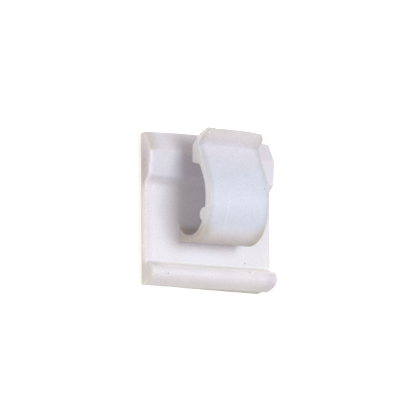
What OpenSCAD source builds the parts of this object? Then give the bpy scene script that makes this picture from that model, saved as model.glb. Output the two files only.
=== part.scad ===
// Adhesive cable clip: a square moulded base on a foam pad, with an open hook that springs over the cable.
// It lies on its adhesive face: X runs along the cable, +Y points to the mouth, +Z away from the wall.

/* [Base] */
// Length of the base along the cable
base_w = 20; // [14:0.5:30]
// Height of the base across the cable, at its two ends
base_h = 19.85; // [19:0.05:26]
// Thickness of the base plate
plate_t = 0.9; // [0.7:0.05:1.2]
// Rise of the top edge at the middle of its length
top_crown = 0.35; // [0.1:0.05:0.6]

/* [Entry ridge] */
// Height of the ridge above the plate
ridge_rise = 1.4; // [1:0.05:1.8]
// Length of the bevel from the top edge down to the ridge
bevel_len = 2.45; // [2:0.05:3]
// Length of the land below the bevel
land_len = 3.2; // [2.6:0.1:3.6]
// Fall of the land towards the channel
land_fall = 0.3; // [0.1:0.05:0.5]
// Slope of the shoulder that ends the land, from the plate
shoulder_angle = 50; // [40:1:60]
// Radius that rounds the shoulder and its foot
shoulder_r = 0.7; // [0.4:0.05:0.9]

/* [Lower bead] */
// Height of the bead above the plate
bead_rise = 1.7; // [1.4:0.05:2]
// Radius of the bead's nose
bead_r = 1.15; // [0.9:0.05:1.3]
// Distance of the bead's centre from the lower edge
bead_y = 1.6; // [1.5:0.05:2]
// Distance of the bead's upper foot from the lower edge
bead_foot = 3.05; // [2.95:0.05:3.6]
// Flat of the lower edge under the bead
edge_flat = 0.25; // [0.15:0.05:0.4]

/* [Hook strap] */
// Width of the strap along the cable
strap_w = 9.7; // [7:0.1:13]
// Thickness of the strap
strap_t = 0.9; // [0.7:0.05:1.1]
// Inner radius of the strap's front, centred on the plate's face
channel_r = 6.35; // [5.9:0.05:6.8]
// Distance of that centre from the base's top edge
channel_drop = 8.6; // [8.2:0.05:9]
// Angle above the centre at which the front turns into a straight arm
arm_angle = 24.5; // [20:0.5:28]
// Length of the straight arm
arm_len = 4.4; // [4:0.1:4.8]
// Angle below the centre at which the front turns into the lower bend
bend_angle = 35; // [32:1:40]
// Inner radius of the lower bend
bend_r = 2.85; // [2.4:0.05:3.2]
// Rise of the strap's root towards the plate
root_angle = 10; // [5:1:14]
// Radius of the fillet inside the root
root_r = 2.4; // [1.8:0.1:2.6]

/* [Grip rib] */
// Radius of the round rib inside the strap
rib_r = 0.9; // [0.6:0.05:1]
// Angle of the rib below the centre
rib_angle = 22.5; // [18:0.5:23.5]

/* [Barb and lip] */
// Gap between the ridge and the barb
mouth_gap = 2.1; // [1.6:0.05:2.4]
// Length of the barb below the crease
barb_len = 2.4; // [2:0.1:2.8]
// Fall of the barb's underside towards the arm
barb_fall = 0.4; // [0.2:0.05:0.6]
// Slope of the lead-in face, from the wall's normal
entry_angle = 39; // [34:1:41]
// Radius that rounds the lead-in into the barb
barb_r = 0.7; // [0.4:0.05:0.9]
// Rise of the lip's edge above the crease, at the middle of its length
lip_rise = 1.9; // [1.5:0.05:2.1]
// Reach of the lip's edge out from the crease
lip_reach = 1.5; // [1.2:0.05:1.6]
// Bulge of the lip's front between crease and edge
lip_bulge = 0.18; // [0.05:0.01:0.2]
// Thickness of the lip's edge
lip_t = 0.2; // [0.15:0.05:0.4]
// Rise of the lip's edge at the middle of its length over its ends
lip_crown = 0.2; // [0.1:0.05:0.4]
// Length that each corner takes off the lip's edge
lip_cut = 0.75; // [0.5:0.05:1.2]
// Radius of the lip's two corners, seen from the front
lip_corner_r = 1.2; // [1.2:0.1:3]

/* [Foam pad] */
// Thickness of the foam pad
pad_t = 0.8; // [0.5:0.1:1.6]
// Margin of the pad at each end of the base
pad_margin = 1; // [0:0.1:2]

/* [Hidden] */
$fn = 96;

nylon_colour = [0.90, 0.88, 0.89];
foam_colour = [0.86, 0.85, 0.83];

// Longest chord and widest turn between two points of an arc
chord_len = 0.3;
chord_turn = 12;

// Profiles are drawn as [y, z]: y up from the lower edge, z out from the moulding's back.
// Angles are turned from straight out towards the mouth.
function unit(v) = v / norm(v);
function out(angle) = [sin(angle), cos(angle)];
function along(angle) = [cos(angle), -sin(angle)];
function angle_of(v) = atan2(v[0], v[1]);
function short_turn(angle) = angle > 180 ? angle - 360 : angle < -180 ? angle + 360 : angle;

// Points of an arc, without its first point where the one before already ends there
function arc(centre, r, from, to, first = 0) =
    let (turn = abs(to - from), n = ceil(max(turn / chord_turn, turn * PI / 180 * r / chord_len)))
    [for (i = [first:n]) centre + r * out(from + (to - from) * i / n)];
function arc_between(centre, p, q, first = 0) =
    let (from = angle_of(p - centre), turn = short_turn(angle_of(q - centre) - from))
    arc(centre, norm(p - centre), from, from + turn, first);

// Arc of radius r that touches both sides of a corner, from side a to side b
function round_corner(corner, side_a, side_b, r) =
    let (a = unit(side_a), b = unit(side_b), half = acos(a * b) / 2)
    arc_between(
        corner + unit(a + b) * r / sin(half),
        corner + a * r / tan(half),
        corner + b * r / tan(half)
    );

// Point where the line from p touches a circle, on the left (1) or right (-1) as seen from p
function touch(p, centre, r, side) =
    let (d = norm(centre - p), spread = asin(r / d), ahead = (centre - p) / d)
    p + sqrt(d * d - r * r) * [
        ahead[0] * cos(spread) - side * ahead[1] * sin(spread),
        ahead[1] * cos(spread) + side * ahead[0] * sin(spread)
    ];

// Base: bead at the lower edge, plate, shoulder, land and bevel up to the crowned top edge
ridge = [base_h - bevel_len, plate_t + ridge_rise];
land_end = ridge - [land_len, land_fall];
shoulder_foot = [land_end[0] - (land_end[1] - plate_t) / tan(shoulder_angle), plate_t];
crown_y = base_h + top_crown;
crown_z = ridge[1] - (crown_y - ridge[0]) * ridge_rise / bevel_len;
crown_r = (base_w * base_w / 4 + top_crown * top_crown) / (2 * top_crown);
bead_centre = [bead_y, plate_t + bead_rise - bead_r];
lower_edge = [0, edge_flat];
upper_foot = [bead_foot, plate_t];

base_outline = concat(
    [[0, 0], lower_edge],
    arc_between(
        bead_centre,
        touch(lower_edge, bead_centre, bead_r, 1),
        touch(upper_foot, bead_centre, bead_r, -1)
    ),
    [upper_foot],
    round_corner(shoulder_foot, [-1, 0], land_end - shoulder_foot, shoulder_r),
    round_corner(land_end, shoulder_foot - land_end, ridge - land_end, shoulder_r),
    [ridge, [crown_y, crown_z], [crown_y, 0]]
);

// Hook: root, lower bend, round front and straight arm, each the strap's thickness
channel_centre = [base_h - channel_drop, plate_t];
strap_r = channel_r + strap_t;
bend_centre = channel_centre + (channel_r - bend_r) * out(-bend_angle);
root_turn = -90 - root_angle;
root_start = bend_centre + bend_r * out(root_turn);
root_corner = root_start + [1, -1 / tan(root_angle)] * (root_start[1] - plate_t) * tan(root_angle);
root_fillet = round_corner(root_corner, root_start - root_corner, [1, 0], root_r);
root_depth = plate_t / 2;
underside = root_start + strap_t * out(root_turn);
underside_end = underside + [tan(root_angle), -1] * (underside[1] - root_depth);
fillet_end = [root_fillet[len(root_fillet) - 1][0], root_depth];
arm_start = channel_centre + channel_r * out(arm_angle);
crease = channel_centre + strap_r * out(arm_angle) + arm_len * along(arm_angle);

// Rib: a circle centred on the strap's inner face
rib_centre = channel_centre + channel_r * out(-rib_angle);
rib_tilt = asin(rib_r / (2 * channel_r));

// Barb and lip
barb_foot = [crease[0] - barb_len, ridge[1] + mouth_gap];
barb_root_run = (barb_foot[0] - barb_fall - arm_start[0]) / cos(arm_angle);
barb_root = arm_start + barb_root_run * along(arm_angle);
lip_front = crease + [lip_rise, lip_reach];
lip_back = lip_front - [0, lip_t];
barb_top = [lip_back[0] - (lip_back[1] - barb_foot[1]) * tan(entry_angle), barb_foot[1]];
lip_chord = norm(lip_front - crease);
lip_ahead = (lip_front - crease) / lip_chord;
lip_bulge_r = (lip_chord * lip_chord / 4 + lip_bulge * lip_bulge) / (2 * lip_bulge);
lip_bulge_centre = (crease + lip_front) / 2
    + (lip_bulge_r - lip_bulge) * [lip_ahead[1], -lip_ahead[0]];

// Lip's outline seen from the front, as [x, y]: a shallow arc that ends in a rounder one at each corner
lip_crown_r = (strap_w * strap_w / 4 + lip_crown * lip_crown) / (2 * lip_crown);
lip_crown_y = lip_front[0] - lip_crown_r;
lip_end_x = strap_w / 2 - lip_cut;
lip_end_y = lip_crown_y + sqrt(lip_crown_r * lip_crown_r - lip_end_x * lip_end_x);
corner_depth = sqrt(lip_corner_r * lip_corner_r - lip_cut * lip_cut / 2);
corner_shift = lip_cut / 2 + corner_depth / sqrt(2);

hook_outline = concat(
    [underside_end],
    arc(bend_centre, bend_r + strap_t, root_turn, -bend_angle),
    arc(channel_centre, strap_r, -bend_angle, arm_angle, 1),
    arc_between(lip_bulge_centre, crease, lip_front),
    [lip_back],
    round_corner(barb_top, lip_back - barb_top, barb_foot - barb_top, barb_r),
    [barb_foot, barb_root],
    arc(channel_centre, channel_r, arm_angle, 2 * rib_tilt - rib_angle),
    arc(rib_centre, rib_r, 90 + rib_tilt - rib_angle, 270 - rib_tilt - rib_angle, 1),
    arc(channel_centre, channel_r, -2 * rib_tilt - rib_angle, -bend_angle, 1),
    arc(bend_centre, bend_r, -bend_angle, root_turn, 1),
    root_fillet,
    [fillet_end]
);

// Cuts seen from the front run through the full height
cut_h = strap_r + plate_t + 1;

// Outline extruded along the cable, about the middle of the base
module along_cable(length, outline) {
    rotate([90, 0, 90]) linear_extrude(length, center = true) polygon(outline);
}

// Base whose top edge is a shallow arc
module base() {
    intersection() {
        along_cable(base_w, base_outline);
        linear_extrude(cut_h) translate([0, crown_y - crown_r]) circle(crown_r);
    }
}

// Hook whose lip ends in a shallow arc with two rounder corners
module hook() {
    difference() {
        intersection() {
            along_cable(strap_w, hook_outline);
            linear_extrude(cut_h) translate([0, lip_crown_y]) circle(lip_crown_r);
        }
        for (side = [-1, 1])
            linear_extrude(cut_h)
                translate([side * strap_w / 2, lip_end_y])
                    difference() {
                        square(2 * lip_cut, center = true);
                        translate([-side, -1] * corner_shift) circle(lip_corner_r);
                    }
    }
}

module clip_body() {
    color(nylon_colour)
        translate([0, -base_h / 2, pad_t]) {
            base();
            hook();
        }
}

module adhesive_pad() {
    pad_w = base_w - 2 * pad_margin;
    color(foam_colour)
        translate([-pad_w / 2, -base_h / 2, 0]) cube([pad_w, base_h, pad_t]);
}

clip_body();
adhesive_pad();
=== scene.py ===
import bmesh
import bpy
import math
from mathutils import Matrix, Vector


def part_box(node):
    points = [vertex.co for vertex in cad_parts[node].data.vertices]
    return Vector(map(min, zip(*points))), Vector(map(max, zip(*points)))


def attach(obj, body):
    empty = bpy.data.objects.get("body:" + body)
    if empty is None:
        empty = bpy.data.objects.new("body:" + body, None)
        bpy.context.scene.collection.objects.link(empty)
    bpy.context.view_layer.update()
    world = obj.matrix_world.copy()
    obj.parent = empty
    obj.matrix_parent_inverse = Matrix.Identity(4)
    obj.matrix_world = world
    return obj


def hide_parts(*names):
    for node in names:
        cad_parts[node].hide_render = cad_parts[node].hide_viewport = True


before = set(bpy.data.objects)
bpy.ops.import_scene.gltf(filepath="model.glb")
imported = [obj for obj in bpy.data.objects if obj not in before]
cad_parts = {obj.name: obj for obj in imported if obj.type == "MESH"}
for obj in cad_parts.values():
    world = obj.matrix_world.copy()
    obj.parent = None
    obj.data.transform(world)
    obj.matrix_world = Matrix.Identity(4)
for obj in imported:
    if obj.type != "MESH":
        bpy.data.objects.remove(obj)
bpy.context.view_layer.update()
scene = bpy.context.scene
mm = 0.001
print("frame loaded:", sorted(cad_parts))


def hexColor(code):  # sRGB hex to the linear colour that a shader takes
    parts = [int(code[i:i + 2], 16) / 255 for i in (0, 2, 4)]
    return [c / 12.92 if c <= 0.04045 else ((c + 0.055) / 1.055) ** 2.4 for c in parts] + [1.0]


def addNode(tree, kind, inputs={}, **settings):  # one node with its settings, values and links
    node = tree.nodes.new("ShaderNode" + kind)
    for name, value in settings.items():
        setattr(node, name, value)
    for name, value in inputs.items():
        if isinstance(value, bpy.types.NodeSocket):
            tree.links.new(value, node.inputs[name])
        else:
            node.inputs[name].default_value = value
    return node


def newMaterial(name):
    material = bpy.data.materials.new(name)
    material.use_nodes = True
    material.node_tree.nodes.clear()
    return material, material.node_tree


def makeActive(piece):  # everything else is deselected first
    bpy.ops.object.select_all(action="DESELECT")
    piece.select_set(True)
    bpy.context.view_layer.objects.active = piece


def applyModifier(piece, kind, **settings):
    makeActive(piece)
    modifier = piece.modifiers.new(kind.lower(), kind)
    for name, value in settings.items():
        setattr(modifier, name, value)
    bpy.ops.object.modifier_apply(modifier=modifier.name)


def selectPoints(piece, wanted):  # in edit mode, by their place in mm
    bpy.ops.mesh.select_mode(type="VERT")
    bpy.ops.mesh.select_all(action="DESELECT")
    shape = bmesh.from_edit_mesh(piece.data)
    for point in shape.verts:
        point.select_set(wanted(point.co / mm))
    shape.select_flush_mode()
    bmesh.update_edit_mesh(piece.data)


# camera: left of the base's normal and a little below it, with a long lens
photoView = {
    "left": 34.777,  # degrees
    "below": 7.905,
    "roll": -0.558,
    "lens": 214.29,  # mm on a 36 mm sensor
    "distance": 330.3,  # mm from the middle of the base's back
    "slide": (0.716, 0.553),  # mm right and up, so the clip sits off the image's middle
    "target": (0, 0, 0.8),  # mm
    "clipRange": (0.01, 10),  # m
}


def addCamera(v):
    a, e, r = (math.radians(v[k]) for k in ("left", "below", "roll"))
    back = Vector((-math.sin(a) * math.cos(e), -math.sin(e), math.cos(a) * math.cos(e)))
    right = Vector((math.cos(a), 0, math.sin(a)))
    up = back.cross(right)
    right, up = right * math.cos(r) + up * math.sin(r), up * math.cos(r) - right * math.sin(r)
    slideX, slideY = v["slide"]
    place = Vector(v["target"]) + right * slideX + up * slideY + back * v["distance"]
    turn = Matrix((right, up, back)).transposed().to_4x4()
    camera = bpy.data.objects.new("photoCamera", bpy.data.cameras.new("photoCamera"))
    scene.collection.objects.link(camera)
    camera.matrix_world = Matrix.Translation(place * mm) @ turn
    camera.data.lens = v["lens"]
    camera.data.clip_start, camera.data.clip_end = v["clipRange"]
    scene.camera = camera


addCamera(photoView)
print("camera set")

# natural nylon, injection moulded: milky and satin, finely mottled, with a few dark spots of
# regrind and one faint flow line;
# where its colour changes by place, that is painted light and shade: cool light on the thin strap,
# shade where it is thick or runs out to an edge, and one glint
onRidge = ("y", 3.5, 4.3)  # a band: direction, where it starts and where it is full, in mm
onFace = ("x", -9.97, -10)  # the base's left end face
notOnFace = ("x", -10, -9.96)
overBead = ("y", -6.9, -6.4)
onRoot = [("z", 1.72, 2.2), ("y", -5.6, -5.2)]
onHook = ("z", 3.6, 5.0)
notOnEnds = ("side", 4.84, 4.78)  # the hook's ends
nylonLook = {
    "color": "EFEFF7",
    "paintedLightAndTones": [  # colour and the bands that it lies in, each over the ones before; all but the flow line are painted light and shade
        ("E8E8F3", [onRidge]),  # ridge: painted shade, darker towards the top
        ("DEDFEA", [onRidge, ("y", 7.6, 7.3), ("x", -3, -6), ("x", -9.9, -9.3)]),  # its land, left: painted shade, as of the hook and a cable beside it
        ("D9D6DB", [("y", 1.5, 4.5), ("y", 9.0, 6.0), onFace, ("z", 3.2, 1.6)]),  # its end face: painted shade, darker lower down
        ("D6D3D4", [("y", 7.2, 7.7), ("x", -7.6, -9.8), notOnFace]),  # its bevel's left edge: painted shade over its highlight
        ("E6E4EB", [("y", 3.6, 2.8), overBead, ("x", -8.6, -9.8), notOnFace]),  # plate's left edge: painted shade over its highlight
        ("F8F7FF", [("y", 3.6, 1.0), overBead, onFace]),  # its end face: painted light, as if lit through the plate
        ("DACFD6", [("y", 3.6, 2.8), ("y", -7.0, -6.6), ("x", 9.7, 9.9)]),  # its right edge: painted shade
        ("EAEAF3", [("y", -7.8, -8.3)]),  # bead: painted shade on its lower half
        ("E0DEEA", [("y", -6.9, -7.3), ("x", 7.5, 9.0)]),  # its right end: painted shade
        ("E5E8EC", [("y", -6.9, -7.3), ("x", -8.6, -9.9)]),  # its left end: painted shade
        ("FFFFFF", [("y", -7.8, -7.4), ("y", -6.5, -7.0), ("x", -10, -6.5)]),  # painted light at its foot, against the shade in the hollow
        ("CCC6C4", [*onRoot, ("y", 2, 0)]),  # hook's root: painted shade
        ("EAEAF5", [onHook]),  # hook: painted shade, a touch darker than the base
        ("DDE5F3", [onHook, ("y", -4.4, -2.0), ("y", 8.6, 3.5)]),  # its thin round front: painted cool light, as from a blue cable behind it
        ("CFD6DE", [onHook, ("y", 10, 8), ("side", 3.6, 4.7)]),  # beside its edges: painted shade
        ("E8EEF6", [onHook, ("side", 4.78, 4.84)]),  # its ends: painted cool light, lifting them from the painted shade beside its edges
        ("D6D7DA", [*onRoot, ("y", -2.8, -4.3)]),  # its lower bend: painted shade
        ("C8C6C3", [*onRoot, ("y", -1.5, -3.5), ("side", 2.5, 4.7)]),  # the bend's ends: painted shade, as of a cable over them
        ("DDDDE4", [onHook, ("y", 8.1, 8.9), notOnEnds]),  # lip: painted shade
        ("D0D0D5", [onHook, ("y", 9.2, 10.3)]),  # its outer edge: painted shade where it is thin
        ("D3D3D2", [onHook, ("y", 8.0, 9.2), ("side", 3.4, 4.6), notOnEnds]),  # its corners: painted shade
        ("E3E9F6", [onHook, ("y", -3.4, -2.2), ("y", 2.6, 1.2), ("flow", 0.2, 0)]),  # flow line
    ],
    "flowAt": -1.72,  # mm along X
    "flowWave": 0.5,  # mm
    "cloud": 3.0,  # mm, size of a pale cloud
    "cloudColor": "F5F4F4",  # multiplies the tone, and so does mottleColor
    "mottle": 0.24,  # mm
    "mottleColor": "F2F1F2",
    "mottleRange": (0.25, 0.75),  # part of the noise that is used
    "grain": 0.12,  # mm, tool texture, drawn coarser than it is so that it shows
    "grainBump": (0.08, 0.02),  # strength, and height in mm
    "detail": {"cloud": 3.0, "mottle": 2.0, "grain": 2.0},  # of their noise
    "specksAndGlint": {  # colour and places in mm: dark regrind spots and a painted glint
        "A8A29E": [
            (3.99, 2.67, 8.82), (5.8, -6.29, 1.7), (5.5, -7.66, 3.18),
            (-7.56, -8.54, 3.37), (-7.39, -9.48, 2.41)],
        "FFFFFF": [(-3.85, 9.66, 7.69)],  # a painted glint on the lip
    },
    "speckAndGlintSize": 0.14,  # mm
    "speckAndGlintShare": 0.8,
    "roughness": (0.36, 0.48),
    "ior": 1.53,
    "depth": 1.2,  # mm that light scatters inside
    "depthByColor": (1.0, 0.85, 0.8),
}


def makeNylon(look):
    material, tree = newMaterial("naturalNylon")
    place = addNode(tree, "TexCoord").outputs["Object"]
    x, y, z = addNode(tree, "SeparateXYZ", {0: place}).outputs
    clouds, mottle, grain = (
        addNode(tree, "TexNoise", {
            "Vector": place, "Scale": 1 / (look[name] * mm), "Detail": look["detail"][name],
        }).outputs["Fac"] for name in ("cloud", "mottle", "grain"))
    low, high = look["mottleRange"]
    mottle = addNode(tree, "MapRange", {"Value": mottle, "From Min": low, "From Max": high})
    side = addNode(tree, "Math", {0: x}, operation="ABSOLUTE").outputs[0]
    wave = look["flowWave"] * mm
    flow = addNode(tree, "Math", {0: clouds, 1: wave, 2: look["flowAt"] * mm - wave / 2},
                   operation="MULTIPLY_ADD")
    flow = addNode(tree, "Math", {0: x, 1: flow.outputs[0]}, operation="SUBTRACT")
    flow = addNode(tree, "Math", {0: flow.outputs[0]}, operation="ABSOLUTE").outputs[0]
    along = {"x": x, "y": y, "z": z, "side": side, "flow": flow}

    tone = hexColor(look["color"])
    for color, bands in look["paintedLightAndTones"]:
        share = 1.0
        for direction, begin, full in bands:
            band = addNode(tree, "MapRange", {
                "Value": along[direction], "From Min": begin * mm, "From Max": full * mm,
            }, interpolation_type="SMOOTHSTEP")
            share = addNode(tree, "Math", {0: band.outputs["Result"], 1: share},
                            operation="MULTIPLY").outputs[0]
        tone = addNode(tree, "Mix", {"Factor": share, "A": tone, "B": hexColor(color)},
                       data_type="RGBA").outputs["Result"]
    for share, color in ((clouds, "cloudColor"), (mottle.outputs["Result"], "mottleColor")):
        tone = addNode(tree, "Mix", {"Factor": share, "A": tone, "B": hexColor(look[color])},
                       data_type="RGBA", blend_type="MULTIPLY").outputs["Result"]
    size = look["speckAndGlintSize"] * mm
    for color, places in look["specksAndGlint"].items():
        for spot in places:
            far = addNode(tree, "VectorMath", {0: place, 1: [c * mm for c in spot]},
                          operation="DISTANCE")
            share = addNode(tree, "MapRange", {
                "Value": far.outputs["Value"], "From Min": size, "From Max": size / 2,
                "To Max": look["speckAndGlintShare"]}, interpolation_type="SMOOTHSTEP")
            tone = addNode(tree, "Mix", {
                "Factor": share.outputs["Result"], "A": tone, "B": hexColor(color),
            }, data_type="RGBA").outputs["Result"]
    smooth, dull = look["roughness"]
    rough = addNode(tree, "MapRange", {"Value": grain, "To Min": smooth, "To Max": dull})
    strength, height = look["grainBump"]
    bump = addNode(tree, "Bump", {"Height": grain, "Strength": strength, "Distance": height * mm})
    shader = addNode(tree, "BsdfPrincipled", {
        "Base Color": tone, "Roughness": rough.outputs["Result"],
        "Normal": bump.outputs["Normal"], "IOR": look["ior"], "Subsurface Weight": 1.0,
        "Subsurface Radius": look["depthByColor"], "Subsurface Scale": look["depth"] * mm})
    addNode(tree, "OutputMaterial", {"Surface": shader.outputs["BSDF"]})
    return material


# foam tape: white closed cells cut with a blade, dull
foamLook = {
    "color": "D9D6CF",
    "shade": "C2BEB6",
    "roughness": 0.85,
    "cell": 0.18,  # mm
    "cellBump": (0.4, 0.05),  # strength, and height in mm
}


def makeFoam(look):
    material, tree = newMaterial("foamTape")
    place = addNode(tree, "TexCoord").outputs["Object"]
    cells = addNode(tree, "TexVoronoi", {"Vector": place, "Scale": 1 / (look["cell"] * mm)})
    cells = cells.outputs["Distance"]
    tint = addNode(tree, "Mix", {
        "Factor": cells, "A": hexColor(look["color"]), "B": hexColor(look["shade"]),
    }, data_type="RGBA")
    strength, height = look["cellBump"]
    bump = addNode(tree, "Bump", {"Height": cells, "Strength": strength, "Distance": height * mm})
    shader = addNode(tree, "BsdfPrincipled", {
        "Base Color": tint.outputs["Result"], "Roughness": look["roughness"],
        "Normal": bump.outputs["Normal"]})
    addNode(tree, "OutputMaterial", {"Surface": shader.outputs["BSDF"]})
    return material


# every edge of the moulding is rounded by its own amount, in mm
moulding = {
    "name": "clipMoulding",
    "widest": 1.0,  # the roundings are set as shares of it
    "steps": 4,  # in a rounding
    "sharpAngle": 24,  # degrees, flatter edges aren't rounded
    "smoothAngle": 35,
    "flatAngle": 0.3,  # faces this flat to each other are joined
    "baseEnd": 0.2,
    "beadEnd": 0.45,
    "beadFarEnd": 0.25,
    "beadFoot": 0.25,
    "ridge": 0.3,
    "strapOutside": 0.3,
    "strapInside": 0.07,
    "crease": 0.2,
    "armTaper": (4.8, 8.3),  # along Y, where the strap's outer edges sharpen towards the lip
    "rootTaper": (1.9, 2.7),  # along Z, where the channel's edges run out on the plate
    "armCuts": 7,  # in the arm's long front edges, so that their rounding can taper
    "footShift": -0.18,  # along Y, the bead's upper flank is steeper than the solid's
    "topReach": 0.135,  # along Y, the base's top edge reaches a little further up than the solid's
    "topLift": 0.12,  # along Z, and is thicker
    "corner": (-4.2, 10.05),  # in X and Y, the lip's near corner is drawn out to a point
    "cornerCatch": 0.12,  # points this close to it are pulled
    "cornerPull": (-0.03, 0.16, 0.05),
    "cornerReach": 0.45,  # and those round them follow
    "merge": 0.001,  # points this close are one
    "mergeRounded": 0.002,
    "where": {  # what tells one form of the solid from another
        "back": 1.1,  # Z, nothing is rounded below it
        "plate": 1.75,
        "front": 4.2,
        "lip": 6.0,
        "ends": 9.6,  # X, to both sides
        "underside": -9.4,  # Y
        "bead": -7.0,
        "flank": -6.0,
        "barb": 5.4,
        "crease": 7.5,
        "foot": ((-7.0, -6.8), (1.6, 1.8)),  # between these in Y and in Z
        "ridge": (7.0, 4.0),  # from this Y and under this Z
        "topEdge": (9.8, 1.8),
        "topFront": 1.0,  # Z
        "arm": (3.0, 8.0, 7.0),  # least length, highest Y and highest Z of its long edges
        "facing": (0.3, 0.5),  # least part of a normal that looks to the front or down
    },
}


def fade(value, start, end):  # 0 at start, 1 at end
    return min(max((value - start) / (end - start), 0), 1)


def roundWidth(edge, m):  # mm, by the place of the edge; 0 leaves it sharp
    where = m["where"]
    x, y, z = (edge.verts[0].co + edge.verts[1].co) / 2 / mm
    if z < where["back"]:
        return 0
    if abs(x) > where["ends"]:
        if y < where["underside"]:
            return 0
        if y < where["bead"] and z > where["plate"]:
            return m["beadEnd"] if x < 0 else m["beadFarEnd"]
        return m["baseEnd"]
    if not edge.is_convex:
        return m["beadFoot"] if y < where["flank"] else m["crease"] if y > where["crease"] else 0
    if y > where["ridge"][0] and z < where["ridge"][1]:
        return m["ridge"]
    toFront, down = where["facing"]
    for n in (face.normal for face in edge.link_faces):
        onFront = n.z > toFront and z > where["front"]
        onBend = n.y < -down and n.z > -toFront and y < 0
        if onFront or onBend:
            return m["strapOutside"] * (1 - fade(y, *m["armTaper"]))
    return 0 if y > where["barb"] else m["strapInside"] * fade(z, *m["rootTaper"])


def makeMoulding(m):
    where = m["where"]
    piece = bpy.data.objects.new(m["name"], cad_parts["clip_body"].data.copy())
    scene.collection.objects.link(piece)
    makeActive(piece)
    bpy.ops.object.mode_set(mode="EDIT")
    bpy.ops.mesh.select_all(action="SELECT")
    bpy.ops.mesh.remove_doubles(threshold=m["merge"] * mm)
    bpy.ops.mesh.dissolve_limited(angle_limit=math.radians(m["flatAngle"]))

    (lowY, highY), (lowZ, highZ) = where["foot"]
    selectPoints(piece, lambda p: lowY < p.y < highY and lowZ < p.z < highZ)
    bpy.ops.transform.translate(value=(0, m["footShift"] * mm, 0))
    fromY, underZ = where["topEdge"]
    selectPoints(piece, lambda p: p.y > fromY and p.z < underZ)
    bpy.ops.transform.translate(value=(0, m["topReach"] * mm, 0))
    selectPoints(piece, lambda p: p.y > fromY and where["topFront"] < p.z < underZ)
    bpy.ops.transform.translate(value=(0, 0, m["topLift"] * mm))

    bpy.ops.mesh.select_mode(type="EDGE")
    shape = bmesh.from_edit_mesh(piece.data)
    shape.normal_update()
    length, armY, armZ = (c * mm for c in where["arm"])
    for edge in shape.edges:
        y, z = sorted(v.co.y for v in edge.verts), max(v.co.z for v in edge.verts)
        edge.select_set(y[1] - y[0] > length and y[1] > armY and z > armZ)
    bmesh.update_edit_mesh(piece.data)
    bpy.ops.mesh.subdivide(number_cuts=m["armCuts"])

    shape = bmesh.from_edit_mesh(piece.data)
    shape.normal_update()
    weight = shape.edges.layers.float.new("bevel_weight_edge")
    for edge in shape.edges:
        if edge.is_manifold and edge.calc_face_angle() > math.radians(m["sharpAngle"]):
            edge[weight] = roundWidth(edge, m) / m["widest"]
    bmesh.update_edit_mesh(piece.data)
    bpy.ops.object.mode_set(mode="OBJECT")
    applyModifier(piece, "BEVEL", width=m["widest"] * mm, segments=m["steps"],
                  limit_method="WEIGHT", use_clamp_overlap=False, miter_outer="MITER_ARC")

    bpy.ops.object.mode_set(mode="EDIT")
    bpy.ops.mesh.select_mode(type="VERT")
    bpy.ops.mesh.select_all(action="SELECT")
    bpy.ops.mesh.remove_doubles(threshold=m["mergeRounded"] * mm)  # where a rounding runs out
    bpy.ops.mesh.dissolve_degenerate(threshold=m["mergeRounded"] * mm)
    corner = Vector(m["corner"])
    selectPoints(piece, lambda p: p.z > where["lip"] and (p.xy - corner).length < m["cornerCatch"])
    bpy.ops.transform.translate(
        value=Vector(m["cornerPull"]) * mm, use_proportional_edit=True,
        proportional_edit_falloff="SHARP", proportional_size=m["cornerReach"] * mm)
    bpy.ops.object.mode_set(mode="OBJECT")
    bpy.ops.object.shade_smooth_by_angle(angle=math.radians(m["smoothAngle"]))
    applyModifier(piece, "WEIGHTED_NORMAL", weight=100, thresh=1e-9,
                  keep_sharp=True)  # flat faces stay flat
    piece.data.materials.clear()
    piece.data.materials.append(makeNylon(nylonLook))
    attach(piece, "root")
    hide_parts("clip_body")
    return piece


clip = makeMoulding(moulding)
print("moulding:", len(clip.data.vertices), "points")

foamTape = {
    "name": "foamTape",
    "cuts": 71,  # points along each side
    "layers": 4,
    "bulge": 1.003,  # the middle is squeezed out a little
    "ragged": 0.04,  # mm, the sides are cut with a blade
    "seed": 5,
    "faceCatch": 0.1,  # mm, points this close to a sticky face belong to it
    "askew": 0.9,  # degrees, stuck on a little out of square
    "smoothAngle": 50,
}


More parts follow.
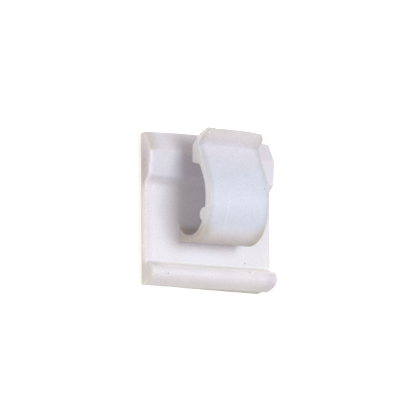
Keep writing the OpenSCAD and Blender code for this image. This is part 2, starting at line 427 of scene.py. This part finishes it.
def makeTape(t):
    low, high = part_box("adhesive_pad")
    middle = (low + high) / 2
    bpy.ops.object.select_all(action="DESELECT")
    bpy.ops.mesh.primitive_plane_add(size=1, location=(middle.x, middle.y, low.z))
    piece = bpy.context.active_object
    piece.name = t["name"]
    piece.scale = (high.x - low.x, high.y - low.y, 1)
    bpy.ops.object.transform_apply(location=True, rotation=True, scale=True)
    bpy.ops.object.mode_set(mode="EDIT")
    bpy.ops.mesh.select_all(action="SELECT")
    bpy.ops.mesh.delete(type="ONLY_FACE")
    bpy.ops.mesh.select_all(action="SELECT")
    bpy.ops.mesh.subdivide(number_cuts=t["cuts"])
    bpy.ops.mesh.edge_face_add()
    rise = (high.z - low.z) / t["layers"]
    for layer in range(t["layers"]):
        bpy.ops.mesh.extrude_region_move(TRANSFORM_OT_translate={"value": (0, 0, rise)})
    bpy.ops.mesh.select_all(action="SELECT")
    bpy.ops.mesh.normals_make_consistent(inside=False)

    bottom, top, catch = low.z, high.z, t["faceCatch"]
    selectPoints(piece, lambda p: bottom / mm + catch < p.z < top / mm - catch)
    bpy.ops.transform.resize(value=(t["bulge"], t["bulge"], 1), center_override=(0, 0, 0))
    bpy.ops.mesh.select_all(action="SELECT")
    bpy.ops.transform.vertex_random(offset=t["ragged"] * mm, uniform=1.0, normal=0.0,
                                    seed=t["seed"])
    for level in (bottom, top):  # the sticky faces are flat again
        selectPoints(piece, lambda p: abs(p.z - level / mm) < catch)
        bpy.ops.transform.resize(value=(1, 1, 0), center_override=(0, 0, level))
    bpy.ops.mesh.select_all(action="SELECT")
    bpy.ops.transform.rotate(value=math.radians(t["askew"]), orient_axis="Z",
                             center_override=(0, 0, 0))
    bpy.ops.object.mode_set(mode="OBJECT")
    bpy.ops.object.shade_smooth_by_angle(angle=math.radians(t["smoothAngle"]))
    piece.data.materials.append(makeFoam(foamLook))
    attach(piece, "root")
    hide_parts("adhesive_pad")
    return piece


tape = makeTape(foamTape)
print("tape:", len(tape.data.vertices), "points")

# plain studio: pale floor, a soft key in front, a weaker fill at the left, warm white round about
studio = {
    "floorSize": 1.2,  # m
    "floorDrop": 0.02,  # mm below the tape
    "floorColor": "F2F2F2",
    "floorLift": 0.6,  # light on the floor that doesn't fall on the clip
    "ambient": 0.4,
    "ambientColor": "FFE8D0",
    "lamps": {  # direction, distance and size in m, power in W, colour
        "keyLight": ((0.16, 0.06, 1.0), 0.30, 0.17, 0.63, "F0F8FF"),
        "fillLight": ((-0.85, -0.3, 0.4), 0.40, 0.30, 0.38, "FFF6EE"),
    },
}


def makeStudio(s):
    bpy.ops.object.select_all(action="DESELECT")
    bpy.ops.mesh.primitive_plane_add(size=s["floorSize"], location=(0, 0, -s["floorDrop"] * mm))
    floor = bpy.context.active_object
    floor.name = "floor"
    material, floorTree = newMaterial("paleFloor")
    floor.data.materials.append(material)
    world = bpy.data.worlds.new("studioWorld")
    world.use_nodes = True
    worldTree = world.node_tree
    worldTree.nodes.clear()
    scene.world = world

    seen = {}  # 1 where the camera looks, also in a reflection
    for tree in (floorTree, worldTree):
        ray = addNode(tree, "LightPath").outputs
        share = ray["Is Camera Ray"]
        for other in ("Is Glossy Ray", "Is Transmission Ray"):
            share = addNode(tree, "Math", {0: share, 1: ray[other]}, operation="MAXIMUM").outputs[0]
        seen[tree] = share

    lift = addNode(floorTree, "Math", {0: seen[floorTree], 1: s["floorLift"]}, operation="MULTIPLY")
    diffuse = addNode(floorTree, "BsdfDiffuse", {"Color": hexColor(s["floorColor"])})
    white = addNode(floorTree, "Emission", {"Strength": lift.outputs[0]})
    both = addNode(floorTree, "AddShader", {0: diffuse.outputs[0], 1: white.outputs[0]})
    addNode(floorTree, "OutputMaterial", {"Surface": both.outputs[0]})

    around = addNode(worldTree, "Background", {
        "Color": hexColor(s["ambientColor"]), "Strength": s["ambient"]})
    white = addNode(worldTree, "Background", {"Color": (1, 1, 1, 1), "Strength": 1.0})
    both = addNode(worldTree, "MixShader", {
        0: seen[worldTree], 1: around.outputs[0], 2: white.outputs[0]})
    addNode(worldTree, "OutputWorld", {"Surface": both.outputs[0]})

    for name, (aim, distance, size, power, color) in s["lamps"].items():
        lamp = bpy.data.objects.new(name, bpy.data.lights.new(name, "AREA"))
        scene.collection.objects.link(lamp)
        lamp.data.size, lamp.data.energy = size, power
        lamp.data.color = hexColor(color)[:3]
        lamp.location = Vector(aim).normalized() * distance
        lamp.rotation_euler = Vector(aim).to_track_quat("Z", "Y").to_euler()


makeStudio(studio)
scene.view_settings.view_transform = "Standard"
print("studio lit")
